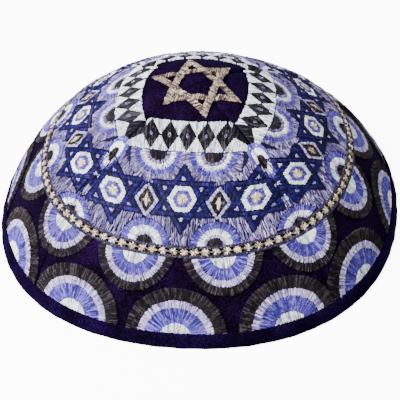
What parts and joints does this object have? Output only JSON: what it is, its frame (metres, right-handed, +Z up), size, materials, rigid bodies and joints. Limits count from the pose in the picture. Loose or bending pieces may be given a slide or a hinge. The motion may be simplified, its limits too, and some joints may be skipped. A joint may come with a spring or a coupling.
{
  "type": "embroidered velvet kippah skullcap",
  "caption": "Velvet skullcap of sewn gores with raised embroidery, a couched metallic braid, a star on the crown and a bound rim.",
  "frame": {"origin": "centre of the rim, on the surface that the cap rests on", "axes": "+Z up the cap's axis to the crown, -Y towards the front gore, +X towards the right gore"},
  "size_m": [0.1764, 0.1764, 0.0665],
  "materials": {
    "velvet": "dark indigo velvet",
    "binding_velvet": "dark indigo velvet tape",
    "field_thread": "satin-stitch embroidery in lilac, royal blue, white and charcoal",
    "scallop_thread": "satin-stitch embroidery in white, lavender, lilac and charcoal rings",
    "metal_thread": "pale gold and silver metallic plait",
    "star_thread": "champagne metallic thread",
    "cord_thread": "dark navy cord"
  },
  "bodies": {
    "root": {"panel_front": "velvet", "panel_right": "velvet", "panel_back": "velvet", "panel_left": "velvet", "rim_binding": "binding_velvet", "embroidery_front": "field_thread", "embroidery_right": "field_thread", "embroidery_back": "field_thread", "embroidery_left": "field_thread", "braid": "metal_thread", "edge_cord_upper": "cord_thread", "edge_cord_lower": "cord_thread", "crown_star": "star_thread", "hanging_scallop_01": "scallop_thread", "hanging_scallop_02": "scallop_thread", "hanging_scallop_03": "scallop_thread", "hanging_scallop_04": "scallop_thread", "hanging_scallop_05": "scallop_thread", "hanging_scallop_06": "scallop_thread", "hanging_scallop_07": "scallop_thread", "hanging_scallop_08": "scallop_thread", "hanging_scallop_09": "scallop_thread", "hanging_scallop_10": "scallop_thread", "hanging_scallop_11": "scallop_thread", "hanging_scallop_12": "scallop_thread", "rim_scallop_01": "scallop_thread", "rim_scallop_02": "scallop_thread", "rim_scallop_03": "scallop_thread", "rim_scallop_04": "scallop_thread", "rim_scallop_05": "scallop_thread", "rim_scallop_06": "scallop_thread", "rim_scallop_07": "scallop_thread", "rim_scallop_08": "scallop_thread", "rim_scallop_09": "scallop_thread", "rim_scallop_10": "scallop_thread", "rim_scallop_11": "scallop_thread", "rim_scallop_12": "scallop_thread"}
  },
  "joints": []
}
